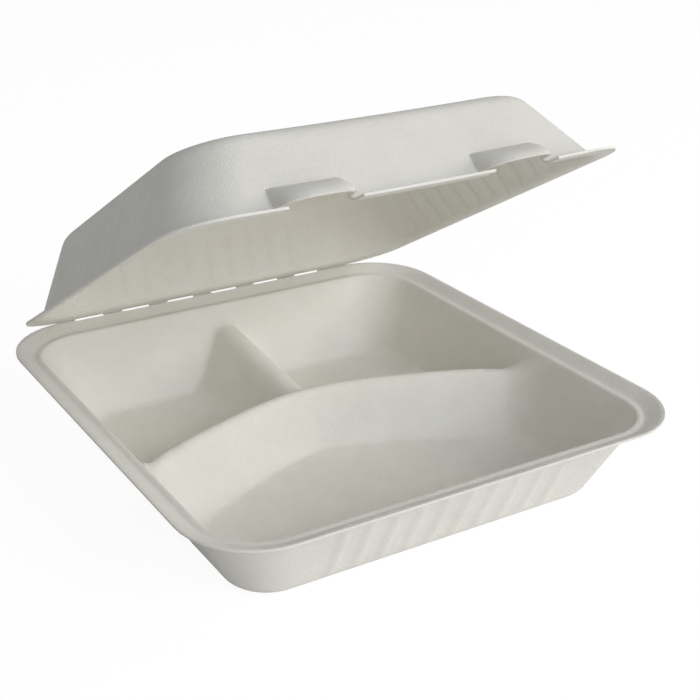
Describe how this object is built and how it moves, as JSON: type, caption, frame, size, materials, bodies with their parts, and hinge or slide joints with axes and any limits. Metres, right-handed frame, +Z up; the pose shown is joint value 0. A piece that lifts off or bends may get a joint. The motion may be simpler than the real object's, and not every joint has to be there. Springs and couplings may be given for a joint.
{
  "type": "hinged takeaway container",
  "caption": "Square moulded-fibre takeaway container with a compartmented tray and a domed, ribbed lid on a perforated fold, held shut by tabs.",
  "frame": {"origin": "under the middle of the container as it stands, lid at rest, on the surface that the tray stands on", "axes": "+Z up, +X along the fold to the right as seen from the front, +Y to the back, towards the fold"},
  "size_m": [0.228, 0.2314, 0.1686],
  "materials": {
    "pulp": "matt moulded plant fibre"
  },
  "bodies": {
    "tray": {"tray": "pulp"},
    "lid": {"lid": "pulp"}
  },
  "joints": [
    {"name": "lid_fold", "type": "hinge", "parent": "tray", "child": "lid", "pos_m": [0, 0.11532, 0.041], "axis": [-1, 0, 0], "range_deg": [-29.4, 150.2]}
  ]
}
